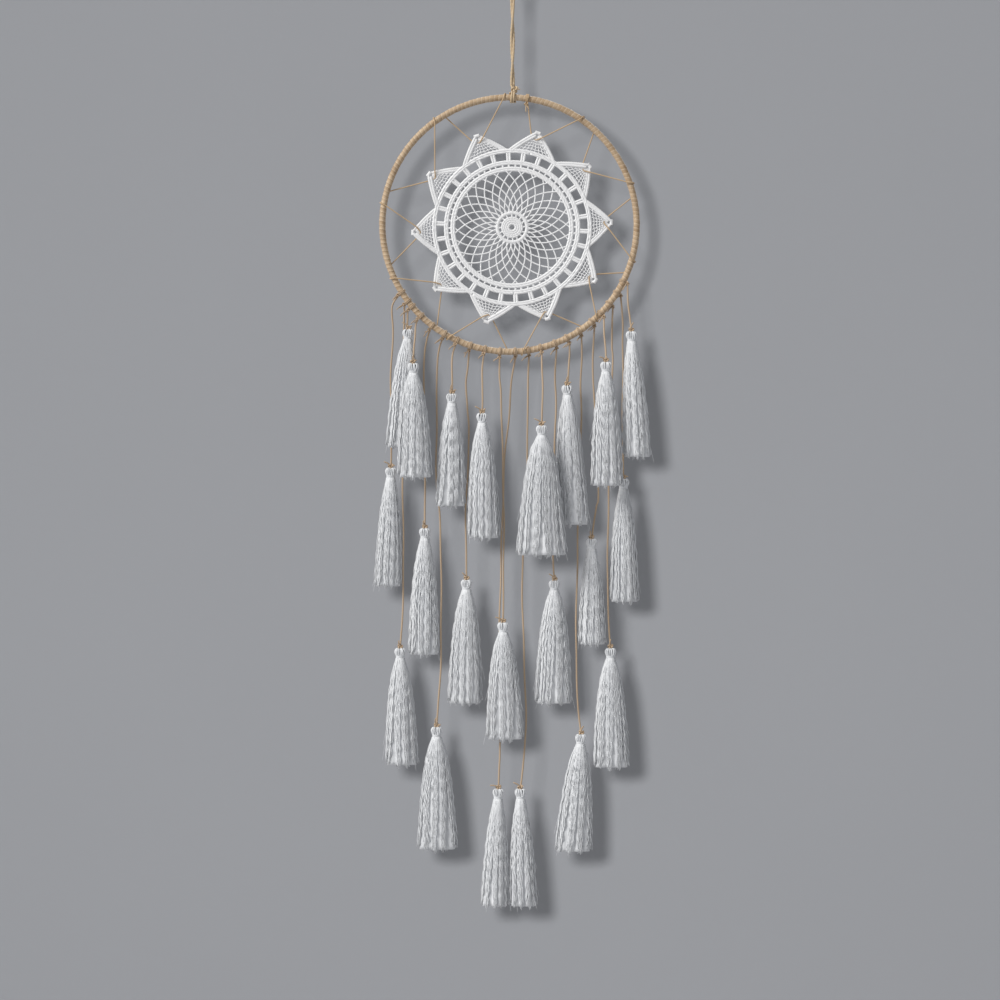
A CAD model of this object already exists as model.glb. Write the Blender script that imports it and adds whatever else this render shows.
"""Looks of a hanging dream catcher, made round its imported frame.

Everything is in metres. +Z is up, the front faces -Y and the origin is the top of the hanging loop.
"""

import math
import random

import bmesh
import bpy
import numpy as np
from mathutils import Matrix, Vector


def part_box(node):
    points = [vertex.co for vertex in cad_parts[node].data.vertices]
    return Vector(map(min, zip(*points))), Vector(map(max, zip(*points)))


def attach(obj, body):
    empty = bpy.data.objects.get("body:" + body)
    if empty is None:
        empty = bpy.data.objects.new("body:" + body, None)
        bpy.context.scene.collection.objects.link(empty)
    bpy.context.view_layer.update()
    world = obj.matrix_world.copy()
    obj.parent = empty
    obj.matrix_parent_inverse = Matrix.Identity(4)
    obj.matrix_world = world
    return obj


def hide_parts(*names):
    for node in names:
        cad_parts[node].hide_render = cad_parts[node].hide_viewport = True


bl_info = {
    "name": "Dream Catcher",
    "version": (1, 0, 0),
    "blender": (4, 5, 0),
    "location": "View3D > Sidebar > Dream Catcher",
    "description": "Makes the cords, hoop, lace and tassels of a hanging dream catcher",
    "category": "Object",
}

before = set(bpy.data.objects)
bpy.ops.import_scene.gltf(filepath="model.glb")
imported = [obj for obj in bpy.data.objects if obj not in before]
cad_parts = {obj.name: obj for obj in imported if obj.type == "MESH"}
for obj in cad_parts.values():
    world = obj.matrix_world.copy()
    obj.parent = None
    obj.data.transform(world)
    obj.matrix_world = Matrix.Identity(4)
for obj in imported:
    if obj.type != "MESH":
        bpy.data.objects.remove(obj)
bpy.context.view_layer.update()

MM = 0.001
TURN = 2 * math.pi

# ---- Layout, in millimetres from the top of the loop ----

hoop_low, hoop_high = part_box("hoop_wrap")
TUBE_R = (hoop_high.y - hoop_low.y) / 2 / MM
HOOP_R = (hoop_high.x - hoop_low.x) / 2 / MM - TUBE_R
HOOP_X = (hoop_high.x + hoop_low.x) / 2 / MM
HOOP_Z = (hoop_high.z + hoop_low.z) / 2 / MM
# The doily hangs a little low and is stretched a little wide
DOILY_X, DOILY_Z = -0.3, HOOP_Z - 2.2
DOILY_WIDE = 1.015
# Number of star points, the angle of the first, and the radii of their tips and of the rim they stand on
POINTS = 10
POINT_TURN = 3
TIP_R = 75.5
RIM_R = 59.5

# Depths that the strands hang at, and how far round the tube their knots sit from its outer line, in degrees
FRONT, NEAR, MIDDLE, REAR = -12.4, -7, -0.9, 5.8
FRONT_SIDE, REAR_SIDE = 35, -35
TIE_KNOT_OUT = 4.4
TIE_KNOT_R = 1.5
# Ties beyond this angle show one cut end, nearer ones show two
BOTH_ENDS_TO = 318
# A tassel's head, the end of its bound neck and the greatest depth of its skirt
HEAD_R = 3.7
NECK_END = 8.2
SKIRT_DEPTH = 11
# Drop over which a cord settles to its own depth
SETTLE_DROP = 30

# Stitches of the lacing in a star point: depth of the edge stitch, its angle, and depth of the middle one
STITCH_EDGE, STITCH_TURN, STITCH_DEPTH = 3, 3.5, 6.5
# Rings of the doily's middle, as (radius, width), and the radii that its lattice runs between
DISC_RINGS = ((2.9, 2.5), (4.5, 2.6), (6.1, 2.6), (7.4, 2.0))
LATTICE_FROM, LATTICE_TO = 11.8, 43.6
# The doily laid flat: its width and height in metres and its area in square metres
# Posts between the two solid rings of the doily, and the waves that make the tape's laps uneven
POSTS = 62
UNEVEN_WAVES = (3, 7, 13, 19, 29, 41, 57)
# The tape's mesh: steps along the hoop in each lap, and sides round its tube
STEPS_IN_LAP, TAPE_SIDES = 9, 20
# Middle of the camera's view, the floor's height and the lamp's place beside the camera, in metres
VIEW_X, VIEW_Z = -0.0096, -0.416
FLOOR_Z = -1.3
LAMP_LEFT, LAMP_UP = 0.105, 0.07

# Hanging cord: half the gap between its strands, their lower end, the middle of the loop's knot, and the
# loop's radius
STRAND_HALF = 0.9
HANG_END = -98.25
LOOP_KNOT_Z = -28
LOOP_R = 6

# Each strand of the fringe, left to right: the angle of its tie on the hoop, the side of the hoop that
# it leaves from, the depth it hangs at, then points (x, drop) from the hoop's centre: the cord's own, the
# tassel's head and the middle of the tassel's hem, and the hem's width
FRINGE = [
    (212.1, REAR_SIDE, REAR, [(-90, 63), (-89.5, 82), (-91, 115), (-90.5, 165)],
     (-91, 190), (-93.5, 279), 21.4),
    (217, REAR_SIDE, REAR,
     [(-80.8, 72), (-81, 84), (-82, 140), (-82, 194), (-81.6, 240), (-81.6, 280), (-82.5, 304)],
     (-84, 328.5), (-83, 416), 26),
    (220, 0, MIDDLE, [(-78.5, 75)], (-77.5, 84), (-82.5, 172.5), 25),
    (225.8, FRONT_SIDE, FRONT, [(-72, 78), (-72.5, 90)], (-73.5, 110.5), (-72, 195.5), 27),
    (232.6, REAR_SIDE, REAR, [(-64, 90), (-65.5, 104), (-65.5, 140), (-65, 196)],
     (-65, 236.5), (-66, 331.5), 23.8),
    (239.3, REAR_SIDE, REAR,
     [(-54, 95), (-55.5, 110), (-56, 158), (-56, 195), (-53, 235), (-52.5, 288), (-52.8, 335), (-54.5, 365)],
     (-56, 389), (-55.5, 481), 31),
    (245.6, FRONT_SIDE, NEAR, [(-43.5, 100), (-44, 114)], (-44, 133.5), (-45, 217.5), 23),
    (252.1, REAR_SIDE, REAR, [(-32, 110), (-33.5, 122), (-32.5, 141), (-31, 162), (-33.5, 219)],
     (-33, 276), (-34.5, 369), 27),
    (258.7, FRONT_SIDE, NEAR, [(-21, 110), (-20.5, 124)], (-21, 148.5), (-20, 242), 25.2),
    (265.7, 0, MIDDLE, [(-7.8, 117), (-6.5, 131), (-5.5, 170), (-4.5, 217), (-4.5, 246)],
     (-5, 308.5), (-3.5, 396), 29),
    (272.6, REAR_SIDE, REAR,
     [(1.5, 120), (-0.5, 148), (-3.5, 176), (-5, 210), (-7.5, 303), (-7.5, 398), (-7.8, 415)],
     (-8.5, 436.5), (-11.5, 524.5), 21.4),
    (278.5, REAR_SIDE, REAR,
     [(14, 127), (13.5, 182), (10, 257), (10.5, 313), (12.5, 368), (12, 395), (10.5, 415)],
     (8.3, 436.5), (10.8, 524.5), 21.4),
    (284.1, FRONT_SIDE, FRONT, [(25, 117), (25, 140)], (24.5, 158), (24.5, 255), 40),
    (290.9, REAR_SIDE, REAR, [(35, 117), (35.5, 141), (34, 200), (33.2, 250)],
     (34.5, 276.5), (33.5, 369), 29),
    (296.8, 0, MIDDLE, [(45.8, 103), (45.2, 115)], (44, 127), (48.5, 232), 25),
    (303.1, REAR_SIDE, REAR,
     [(55.5, 104), (54.5, 124), (55, 155), (52.5, 237), (51.5, 288), (51, 320), (52.5, 368)],
     (55, 394.5), (48.5, 482.5), 29),
    (310.2, REAR_SIDE, REAR, [(64, 96), (64, 110), (65, 131), (68, 203), (66.5, 217)],
     (63, 244.5), (63.5, 323.5), 21.4),
    (315.6, FRONT_SIDE, FRONT, [(72.8, 90)], (73.5, 109.5), (74, 202), 25),
    (321.6, REAR_SIDE, REAR, [(78.5, 92), (79, 110), (76.5, 190), (75.5, 241), (75.5, 290)],
     (77.5, 328.5), (78, 418), 28),
    (327.6, REAR_SIDE, REAR, [(87, 77), (87, 94), (87, 160)], (87.5, 198.5), (88, 291), 22.4),
    (333.3, FRONT_SIDE, NEAR, [(91, 63)], (93, 86), (97.5, 180), 21.4),
]

# Angles at which the lacing starts and ends on the hoop, and those where it comes to the hoop behind and
# leaves it in front
LACING_START, LACING_END = 92.5, 442
LACING_ANCHORS = [
    (121, 126), (165, 171), (199, 205), (235, 242), (269.5, 276),
    (306, 313), (338, 344), (373, 379), (408, 416),
]


def hoop_point(angle, out=0.0, y=0.0):
    """Point on the hoop at an angle in degrees, `out` beyond the tube's middle and `y` towards the back"""
    a = math.radians(angle)
    return np.array([HOOP_X + (HOOP_R + out) * math.cos(a), y, HOOP_Z + (HOOP_R + out) * math.sin(a)])


def star_point(r, angle, y=0.0):
    """Point of the doily at a radius and an angle in degrees"""
    a = math.radians(angle)
    return np.array([DOILY_X + DOILY_WIDE * r * math.cos(a), y, DOILY_Z + r * math.sin(a)])


def hang_place(point, y):
    """Place at an x and a drop from the hoop's centre"""
    return np.array([HOOP_X + point[0], y, HOOP_Z - point[1]])


def tie_knot_place(strand):
    """Middle of the knot that ties a strand to the hoop"""
    side = math.radians(strand[1])
    return hoop_point(strand[0], TIE_KNOT_OUT * math.cos(side), -TIE_KNOT_OUT * math.sin(side))


def cord_top(strand):
    """Where a strand leaves the knot of its tie"""
    return tie_knot_place(strand) - np.array([0, 0, TIE_KNOT_R + 0.6])


def head_top(strand):
    """Top of a strand's tassel"""
    return hang_place(strand[4], strand[2]) + np.array([0, 0, HEAD_R])


def cord_points(strand):
    """The cord's own points: it drifts from its tie's side of the hoop to the depth it hangs at"""
    top, head = cord_top(strand), head_top(strand)
    settle = min(SETTLE_DROP, 0.85 * (top[2] - head[2]))
    middle = []
    for point in strand[3]:
        share = min(1, (top[2] - (HOOP_Z - point[1])) / settle)
        middle.append(hang_place(point, top[1] + (strand[2] - top[1]) * share))
    return np.array([top, *middle, head - np.array([0, 0, 0.3])])


# ---- Routes ----


def unit(v):
    """The same vectors at length 1"""
    return v / np.linalg.norm(v, axis=-1, keepdims=True)


def spaced(points, gap):
    """The same line with points an even distance apart"""
    reach = np.concatenate([[0], np.cumsum(np.linalg.norm(np.diff(points, axis=0), axis=1))])
    count = max(3, int(round(reach[-1] / gap)) + 1)
    steps = np.linspace(0, reach[-1], count)
    return np.stack([np.interp(steps, reach, points[:, k]) for k in range(3)], axis=1)


def smooth_route(points, gap=0.5):
    """Smooth curve through the points, with its own points `gap` apart"""
    p = np.array(points, float)
    p = np.vstack([p[:1], p, p[-1:]])
    t = np.linspace(0, 1, 12, endpoint=False)[:, None]
    runs = []
    for i in range(len(p) - 3):
        a, b, c, d = p[i : i + 4]
        runs.append(
            0.5 * (2 * b + (c - a) * t + (2 * a - 5 * b + 4 * c - d) * t**2 + (3 * b - a - 3 * c + d) * t**3)
        )
    return spaced(np.vstack([*runs, p[-1:]]), gap)


def taut_route(points, gap=0.6):
    """Straight stretches with softened corners"""
    p = spaced(np.array(points, float), gap)
    for _ in range(3):
        p[1:-1] = (p[:-2] + 2 * p[1:-1] + p[2:]) / 4
    return p


def ring_route(centre, radius, wide=1.0, steps=240):
    """Closed ring that faces the front"""
    a = np.linspace(0, TURN, steps + 1)
    x = centre[0] + wide * radius * np.cos(a)
    z = centre[2] + radius * np.sin(a)
    return np.stack([x, np.full_like(a, centre[1]), z], axis=1)


def knot_route(centre, size, turned=0.0, flat=1.0):
    """Overhand knot seen from the front, about `size` across each half"""
    t = np.linspace(0, TURN, 40)
    x = (np.sin(t) + 2 * np.sin(2 * t)) / 3 * size
    z = (np.cos(t) - 2 * np.cos(2 * t)) / 3 * size
    y = -np.sin(3 * t) * size * 0.55 * flat
    c, s = math.cos(turned), math.sin(turned)
    return np.stack([centre[0] + c * x - s * z, centre[1] + y, centre[2] + s * x + c * z], axis=1)


def tail_route(start, direction, length, curl, rng):
    """Short cut end that curls as it goes"""
    d = unit(np.array(direction, float))
    side = unit(np.cross(d, [0.2, 1.0, 0.1]))
    bend = curl * rng.uniform(0.6, 1.2)
    forward = np.array([0, -1, 0]) * 0.12 * length
    points = [
        np.array(start) + d * length * s + side * bend * length * s * s + forward * s
        for s in (0, 0.3, 0.6, 0.85, 1)
    ]
    return smooth_route(points, 0.5)


# ---- Cords as meshes ----

straight_tubes = {}


def straight_tube(sides, rings):
    """Unit tube up the Z axis with one ring for each unit, closed at both ends"""
    if (sides, rings) not in straight_tubes:
        bm = bmesh.new()
        bmesh.ops.create_circle(bm, cap_ends=False, segments=sides, radius=1)
        bmesh.ops.spin(
            bm, geom=bm.verts[:] + bm.edges[:], cent=(0, 0, 0), axis=(0, 0, 1), dvec=(0, 0, 1), angle=0,
            steps=rings - 1, use_merge=False, use_duplicate=False,
        )
        bmesh.ops.holes_fill(bm, edges=[e for e in bm.edges if e.is_boundary], sides=0)
        bmesh.ops.recalc_face_normals(bm, faces=bm.faces[:])
        mesh = bpy.data.meshes.new(f"tube_{sides}_{rings}")
        bm.to_mesh(mesh)
        bm.free()
        co = np.empty(len(mesh.vertices) * 3, np.float32)
        mesh.vertices.foreach_get("co", co)
        co = co.reshape(-1, 3)
        ring = np.rint(co[:, 2]).astype(int)
        angle = np.arctan2(co[:, 1], co[:, 0])
        straight_tubes[sides, rings] = (mesh, ring, angle)
    return straight_tubes[sides, rings]


class Skein:
    """Cords, threads and skins gathered into one mesh, each a straight tube that is moved into place"""

    def __init__(self):
        self.bm = bmesh.new()
        self.places = []
        self.marks = {"along": [], "ridge": [], "tint": []}

    def add(self, tube, places, along, ridge, tint):
        self.bm.from_mesh(tube)
        self.places.append(places)
        for name, values in (("along", along), ("ridge", ridge), ("tint", tint)):
            self.marks[name].append(np.broadcast_to(values, len(places)))

    def lay(self, route, width, thick=None, plies=0, pitch=4.0, cut=0.2, sides=8, first=(0, 1, 0), tint=0.5,
            taper=0.0, closed=False, phase=0.0):
        """One cord along a route, whose `plies` show as ridges, `cut` deep, and turn once in `pitch`"""
        thick = width if thick is None else thick
        tube, ring, angle = straight_tube(sides, len(route))
        t = np.gradient(route, axis=0)
        if closed:
            t[0] = t[-1] = route[1] - route[-2]
        t = unit(t)
        n = np.empty_like(t)
        v = np.array(first, float)
        for i, d in enumerate(t):
            v = v - d * v.dot(d)
            v /= np.linalg.norm(v)
            n[i] = v
        b = np.cross(t, n)
        reach = np.concatenate([[0], np.cumsum(np.linalg.norm(np.diff(route, axis=0), axis=1))])
        if closed:
            pitch = reach[-1] / max(1, round(reach[-1] / pitch))
        s = reach[ring]
        ridge = np.full(len(ring), 0.6)
        r = np.ones(len(ring))
        if plies:
            ridge = np.abs(np.cos(plies / 2 * (angle - TURN * s / pitch) + phase)) ** 0.7
            r = 1 - cut * (1 - ridge)
        if taper:
            to_end = np.minimum(s, reach[-1] - s) / (2 * width)
            r = r * (1 - taper * np.clip(1 - to_end, 0, 1) ** 2)
        r = r[:, None]
        places = (
            route[ring]
            + b[ring] * np.cos(angle)[:, None] * r * width / 2
            + n[ring] * np.sin(angle)[:, None] * r * thick / 2
        )
        self.add(tube, places, s * MM, ridge, tint)

    def piece(self, name, material, body, slot, *stands_for):
        """The finished object, riding on its body"""
        mesh = bpy.data.meshes.new(name)
        self.bm.to_mesh(mesh)
        self.bm.free()
        mesh.vertices.foreach_set("co", (np.concatenate(self.places) * MM).astype(np.float32).ravel())
        for mark, values in self.marks.items():
            attribute = mesh.attributes.new(mark, "FLOAT", "POINT")
            attribute.data.foreach_set("value", np.concatenate(values).astype(np.float32))
        return finish_piece(name, mesh, material, body, slot, *stands_for)


def finish_piece(name, mesh, material, body, slot, *stands_for):
    """Puts a mesh in the scene on its body; it takes the place of the frame's nodes in `stands_for`"""
    mesh.shade_smooth()
    mesh.update()
    mesh.materials.append(material)
    piece = bpy.data.objects.new(name, mesh)
    bpy.context.scene.collection.objects.link(piece)
    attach(piece, body)
    if stands_for:
        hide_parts(*stands_for)
    return piece


# ---- Materials ----


def link(tree, source, target):
    tree.links.new(source, target)


def add_node(tree, kind, **settings):
    n = tree.nodes.new(kind)
    for key, value in settings.items():
        setattr(n, key, value)
    return n


def math_node(tree, operation, a, b=None, clamp=False):
    n = add_node(tree, "ShaderNodeMath", operation=operation, use_clamp=clamp)
    for socket, value in zip(n.inputs, (a, b)):
        if value is None:
            continue
        if isinstance(value, (int, float)):
            socket.default_value = value
        else:
            link(tree, value, socket)
    return n.outputs[0]


def mix_colour(tree, mask, low, high):
    """Mix of two colours or colour outputs by a mask"""
    n = add_node(tree, "ShaderNodeMix", data_type="RGBA")
    link(tree, mask, n.inputs["Factor"])
    for socket, value in ((n.inputs[6], low), (n.inputs[7], high)):
        if isinstance(value, bpy.types.NodeSocket):
            link(tree, value, socket)
        else:
            socket.default_value = (*value, 1)
    return n.outputs[2]


def multiply_colour(tree, share, base, over):
    """Colour output multiplied by another one, by a share from 0 to 1"""
    n = add_node(tree, "ShaderNodeMix", data_type="RGBA", blend_type="MULTIPLY")
    n.inputs["Factor"].default_value = share
    link(tree, base, n.inputs[6])
    link(tree, over, n.inputs[7])
    return n.outputs[2]


def read_mark(tree, name):
    n = add_node(tree, "ShaderNodeAttribute", attribute_name=name, attribute_type="GEOMETRY")
    return n.outputs["Fac"]


def drift_group():
    """Slow change of shade over a surface, for wear and uneven dye"""
    group = bpy.data.node_groups.get("uneven_shade")
    if group:
        return group
    group = bpy.data.node_groups.new("uneven_shade", "ShaderNodeTree")
    size = group.interface.new_socket("Size", in_out="INPUT", socket_type="NodeSocketFloat")
    size.default_value = 60
    contrast = group.interface.new_socket("Contrast", in_out="INPUT", socket_type="NodeSocketFloat")
    contrast.default_value = 1
    group.interface.new_socket("Mask", in_out="OUTPUT", socket_type="NodeSocketFloat")
    start, end = add_node(group, "NodeGroupInput"), add_node(group, "NodeGroupOutput")
    place = add_node(group, "ShaderNodeTexCoord")
    noise = add_node(group, "ShaderNodeTexNoise")
    noise.inputs["Detail"].default_value = 4
    link(group, place.outputs["Object"], noise.inputs["Vector"])
    link(group, start.outputs["Size"], noise.inputs["Scale"])
    centred = math_node(group, "SUBTRACT", noise.outputs["Fac"], 0.5)
    spread = math_node(group, "MULTIPLY", centred, start.outputs["Contrast"])
    link(group, math_node(group, "ADD", spread, 0.5, clamp=True), end.inputs["Mask"])
    return group


def fibre_group():
    """Fine fibres that run along a spun cord or thread, with its twist as height"""
    group = bpy.data.node_groups.get("spun_fibres")
    if group:
        return group
    group = bpy.data.node_groups.new("spun_fibres", "ShaderNodeTree")
    for name, value in (("Fibre Size", 2200), ("Fibre Depth", 0.3), ("Crimp Length", 3), ("Crimp Depth", 0)):
        socket = group.interface.new_socket(name, in_out="INPUT", socket_type="NodeSocketFloat")
        socket.default_value = value
    for name in ("Shade", "Height"):
        group.interface.new_socket(name, in_out="OUTPUT", socket_type="NodeSocketFloat")
    start, end = add_node(group, "NodeGroupInput"), add_node(group, "NodeGroupOutput")
    place = add_node(group, "ShaderNodeTexCoord")
    noise = add_node(group, "ShaderNodeTexNoise")
    noise.inputs["Detail"].default_value = 3
    link(group, place.outputs["Object"], noise.inputs["Vector"])
    link(group, start.outputs["Fibre Size"], noise.inputs["Scale"])
    ridge, along, tint = (read_mark(group, name) for name in ("ridge", "along", "tint"))
    swept = math_node(group, "MULTIPLY", along, TURN / MM)
    turns = math_node(group, "DIVIDE", swept, start.outputs["Crimp Length"])
    wobble = math_node(group, "MULTIPLY", math_node(group, "ADD", tint, noise.outputs["Fac"]), 9)
    wave = math_node(group, "SINE", math_node(group, "ADD", turns, wobble))
    crimp = math_node(group, "MULTIPLY", wave, start.outputs["Crimp Depth"])
    fibre = math_node(group, "MULTIPLY", noise.outputs["Fac"], start.outputs["Fibre Depth"])
    height = math_node(group, "ADD", math_node(group, "ADD", ridge, fibre), crimp)
    link(group, height, end.inputs["Height"])
    shade = math_node(group, "ADD", math_node(group, "MULTIPLY", ridge, 0.7), fibre)
    shade = math_node(group, "ADD", shade, math_node(group, "MULTIPLY", crimp, 0.5), clamp=True)
    link(group, shade, end.inputs["Shade"])
    return group


def use_group(tree, group, **values):
    n = add_node(tree, "ShaderNodeGroup", node_tree=group)
    for name, value in values.items():
        n.inputs[name.replace("_", " ")].default_value = value
    return n


def new_material(name, roughness=0.7, specular=0.3, sheen=0.0, sheen_roughness=0.4):
    material = bpy.data.materials.new(name)
    material.use_nodes = True
    tree = material.node_tree
    tree.nodes.clear()
    out = add_node(tree, "ShaderNodeOutputMaterial")
    shader = add_node(tree, "ShaderNodeBsdfPrincipled")
    shader.inputs["Roughness"].default_value = roughness
    shader.inputs["Specular IOR Level"].default_value = specular
    shader.inputs["Sheen Weight"].default_value = sheen
    shader.inputs["Sheen Roughness"].default_value = sheen_roughness
    link(tree, shader.outputs[0], out.inputs["Surface"])
    return material, tree, shader


def bump(tree, shader, height, strength, distance):
    n = add_node(tree, "ShaderNodeBump")
    n.inputs["Strength"].default_value = strength
    n.inputs["Distance"].default_value = distance
    link(tree, height, n.inputs["Height"])
    link(tree, n.outputs[0], shader.inputs["Normal"])


def roughness_from(tree, shader, mask, low, high):
    n = add_node(tree, "ShaderNodeMapRange")
    n.inputs["To Min"].default_value = low
    n.inputs["To Max"].default_value = high
    link(tree, mask, n.inputs["Value"])
    link(tree, n.outputs[0], shader.inputs["Roughness"])


def cord_material(name, light, dark, fibre_size=2600, fibre_depth=0.5, drift=90, sheen=0.15, gloss=0.55):
    """Spun cord: dark in the grooves of its twist, uneven along its length"""
    material, tree, shader = new_material(name, sheen=sheen, specular=0.35)
    fibres = use_group(tree, fibre_group(), Fibre_Size=fibre_size, Fibre_Depth=fibre_depth)
    uneven = use_group(tree, drift_group(), Size=drift, Contrast=2.2)
    base = mix_colour(tree, fibres.outputs["Shade"], dark, light)
    faded, fresh = [0.72 * c for c in light], [min(1, 1.15 * c) for c in light]
    worn = mix_colour(tree, uneven.outputs["Mask"], faded, fresh)
    bright = add_node(tree, "ShaderNodeBrightContrast")
    bright.inputs["Bright"].default_value = 0.45
    link(tree, worn, bright.inputs["Color"])
    link(tree, multiply_colour(tree, 0.45, base, bright.outputs[0]), shader.inputs["Base Color"])
    roughness_from(tree, shader, fibres.outputs["Shade"], gloss + 0.25, gloss)
    bump(tree, shader, fibres.outputs["Height"], 0.6, 0.00025)
    return material


def cotton_material(name, light, dark):
    """Crocheted cotton: soft white, a little grey down in its stitches"""
    material, tree, shader = new_material(name, sheen=0.3, specular=0.2)
    fibres = use_group(tree, fibre_group(), Fibre_Size=1500, Fibre_Depth=0.55)
    uneven = use_group(tree, drift_group(), Size=220, Contrast=1.6)
    base = mix_colour(tree, fibres.outputs["Shade"], dark, light)
    shaded = mix_colour(tree, uneven.outputs["Mask"], [0.93 * c for c in light], light)
    link(tree, multiply_colour(tree, 0.5, base, shaded), shader.inputs["Base Color"])
    roughness_from(tree, shader, uneven.outputs["Mask"], 0.82, 0.95)
    bump(tree, shader, fibres.outputs["Height"], 0.55, 0.0003)
    return material


def silk_material(name, light, dark, crimp):
    """Pale silky thread: each thread has its own shade and a fine crimp"""
    material, tree, shader = new_material(name, sheen=0.25, specular=0.55)
    fibres = use_group(
        tree, fibre_group(), Fibre_Size=1800, Fibre_Depth=0.35, Crimp_Length=crimp / MM, Crimp_Depth=0.4
    )
    mottle = use_group(tree, drift_group(), Size=620, Contrast=2.6)
    thread = math_node(tree, "MULTIPLY", read_mark(tree, "tint"), 0.62)
    crimped = math_node(tree, "MULTIPLY", fibres.outputs["Shade"], 0.42)
    patches = math_node(tree, "MULTIPLY", mottle.outputs["Mask"], 0.34)
    mask = math_node(tree, "ADD", math_node(tree, "ADD", thread, crimped), patches)
    mask = math_node(tree, "SUBTRACT", mask, 0.1, clamp=True)
    link(tree, mix_colour(tree, mask, dark, light), shader.inputs["Base Color"])
    roughness_from(tree, shader, mask, 0.55, 0.34)
    bump(tree, shader, fibres.outputs["Height"], 0.5, 0.0003)
    return material


def tape_material(name, light, dark, bright):
    """Crepe tape wound over itself: paler along each lap's edge, darker beside it, finely wrinkled"""
    material, tree, shader = new_material(name, sheen=0.2, specular=0.4)
    lap, own = read_mark(tree, "ridge"), read_mark(tree, "tint")
    place = add_node(tree, "ShaderNodeTexCoord")
    wrinkle = add_node(tree, "ShaderNodeTexNoise")
    wrinkle.inputs["Scale"].default_value = 900
    wrinkle.inputs["Detail"].default_value = 5
    link(tree, place.outputs["Object"], wrinkle.inputs["Vector"])
    uneven = use_group(tree, drift_group(), Size=120, Contrast=2.5)
    body = mix_colour(tree, uneven.outputs["Mask"], dark, light)
    body = mix_colour(tree, math_node(tree, "MULTIPLY", own, 0.6), body, light)
    edge = math_node(tree, "POWER", lap, 5)
    seam = math_node(tree, "POWER", math_node(tree, "SUBTRACT", 1, lap), 7)
    body = mix_colour(tree, math_node(tree, "MULTIPLY", edge, 0.8), body, bright)
    body = mix_colour(tree, math_node(tree, "MULTIPLY", seam, 0.85), body, [0.5 * c for c in dark])
    speck = math_node(tree, "MULTIPLY", wrinkle.outputs["Fac"], 0.5)
    body = mix_colour(tree, speck, body, dark)
    link(tree, body, shader.inputs["Base Color"])
    roughness_from(tree, shader, wrinkle.outputs["Fac"], 0.45, 0.7)
    bump(tree, shader, wrinkle.outputs["Fac"], 0.8, 0.0004)
    return material


def wire_material(name):
    """Plain drawn wire, for the ring inside the tape"""
    material, tree, shader = new_material(name)
    uneven = use_group(tree, drift_group(), Size=300, Contrast=1.5)
    grey = mix_colour(tree, uneven.outputs["Mask"], (0.4, 0.4, 0.4), (0.6, 0.6, 0.6))
    link(tree, grey, shader.inputs["Base Color"])
    shader.inputs["Metallic"].default_value = 1
    roughness_from(tree, shader, uneven.outputs["Mask"], 0.25, 0.45)
    return material


def plaster_material(name, colour, one_sided=False):
    """Matt painted plaster; a one-sided wall is clear from behind"""
    material, tree, shader = new_material(name, roughness=0.95, specular=0.1)
    uneven = use_group(tree, drift_group(), Size=2.5, Contrast=0.6)
    body = mix_colour(tree, uneven.outputs["Mask"], [0.96 * c for c in colour], [1.04 * c for c in colour])
    link(tree, body, shader.inputs["Base Color"])
    if one_sided:
        clear = add_node(tree, "ShaderNodeBsdfTransparent")
        side = add_node(tree, "ShaderNodeNewGeometry")
        both = add_node(tree, "ShaderNodeMixShader")
        out = next(n for n in tree.nodes if n.bl_idname == "ShaderNodeOutputMaterial")
        link(tree, side.outputs["Backfacing"], both.inputs[0])
        link(tree, shader.outputs[0], both.inputs[1])
        link(tree, clear.outputs[0], both.inputs[2])
        link(tree, both.outputs[0], out.inputs["Surface"])
    return material


# ---- Sizes and colours that a user may change ----


def colour_setting(name, description, value):
    return bpy.props.FloatVectorProperty(
        name=name, description=description, default=value, size=3, min=0, max=1, subtype="COLOR"
    )


def length_setting(name, description, value):
    return bpy.props.FloatProperty(
        name=name, description=description, default=value, min=0, unit="LENGTH", precision=5
    )


def strength_setting(name, description, value, **options):
    return bpy.props.FloatProperty(name=name, description=description, default=value, min=0, **options)


def count_setting(name, description, value, least):
    return bpy.props.IntProperty(name=name, description=description, default=value, min=least)


class StageSettings(bpy.types.PropertyGroup):
    wall_colour: colour_setting("Wall Colour", "Colour of the wall behind the hanging", (0.31, 0.315, 0.33))
    floor_colour: colour_setting("Floor Colour", "Colour of the pale floor", (0.62, 0.62, 0.63))
    distance: length_setting("Camera Distance", "Distance from the camera to the hanging", 2.6)
    view_width: length_setting("View Width", "Width that the camera takes in at the hanging", 0.766)
    wall_gap: length_setting("Wall Gap", "Distance from the hoop's middle to the wall", 0.38)
    fill: strength_setting("Fill Light", "Strength of the soft light all round", 0.36)
    key: strength_setting("Key Light", "Strength of the light from the upper left", 3.25)
    back: strength_setting("Back Light", "Strength of the light from behind", 1.6)
    wall_light: strength_setting("Wall Light", "Power of the light on the wall", 52, subtype="POWER")


class CordSettings(bpy.types.PropertyGroup):
    thickness: length_setting("Thickness", "Thickness of a cord of the fringe", 0.0013)
    pitch: length_setting("Twist Length", "Length in which the cord's strands go once round", 0.0042)
    light: colour_setting("Light Colour", "Colour on the ridges of the twist", (0.55, 0.42, 0.29))
    dark: colour_setting("Dark Colour", "Colour in the grooves of the twist", (0.16, 0.095, 0.055))


class HangerSettings(bpy.types.PropertyGroup):
    thickness: length_setting("Thickness", "Thickness of one strand of the hanging cord", 0.0017)
    pitch: length_setting("Twist Length", "Length in which the plies go once round", 0.0062)
    light: colour_setting("Light Colour", "Colour on the ridges of the twist", (0.70, 0.55, 0.39))
    dark: colour_setting("Dark Colour", "Colour in the grooves of the twist", (0.12, 0.07, 0.035))
    hairs: count_setting("Hairs", "Loose fibres that stand out of the jute", 160, 0)


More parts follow.
